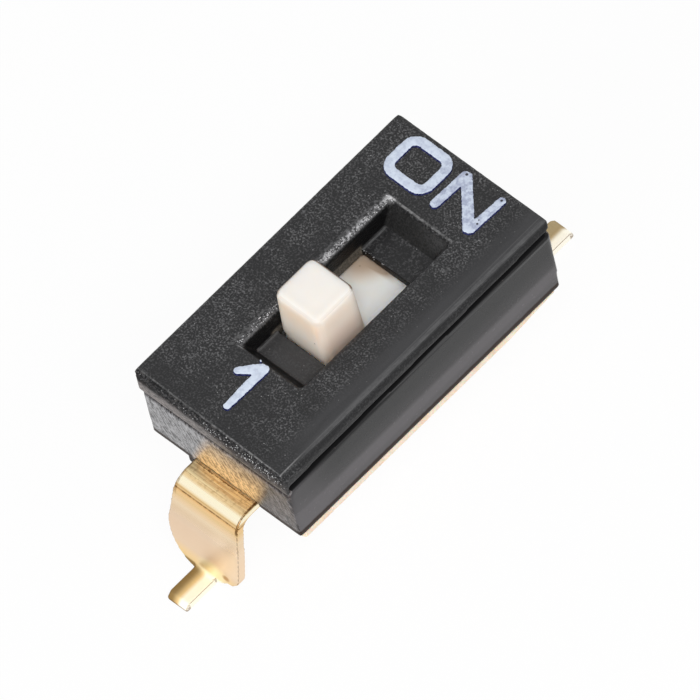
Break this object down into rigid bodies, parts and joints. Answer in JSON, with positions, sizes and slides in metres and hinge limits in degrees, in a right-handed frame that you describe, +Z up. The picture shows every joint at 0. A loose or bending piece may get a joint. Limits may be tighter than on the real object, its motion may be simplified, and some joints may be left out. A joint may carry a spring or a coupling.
{
  "type": "surface-mount slide dip switch",
  "caption": "Black surface-mount slide switch with a white sliding knob in a well, gull-wing gold feet and plain ON and figure print on the cover.",
  "frame": {"origin": "on the board, under the middle of the housing, level with the undersides of the feet", "axes": "+Z up from the board, +Y along the housing towards the ON end, +X across it, so that the print reads along +X"},
  "size_m": [0.0036, 0.0096, 0.0044],
  "materials": {
    "cover_plastic": "moulded, fine grain",
    "base_plastic": "moulded, smooth with a satin gloss",
    "slider_plastic": "moulded, soft gloss",
    "gold_plate": "gold plated",
    "resin": "cured resin",
    "white_ink": "printed"
  },
  "bodies": {
    "housing": {"cover": "cover_plastic", "base": "base_plastic", "front_terminal": "gold_plate", "rear_terminal": "gold_plate", "resin_seal": "resin", "on_print": "white_ink", "one_print": "white_ink"},
    "slider": {"slider": "slider_plastic", "moving_contact": "gold_plate"}
  },
  "joints": [
    {"name": "slider_travel", "type": "slide", "parent": "housing", "child": "slider", "axis": [0, 1, 0], "range_m": [0, 0.00096]}
  ]
}
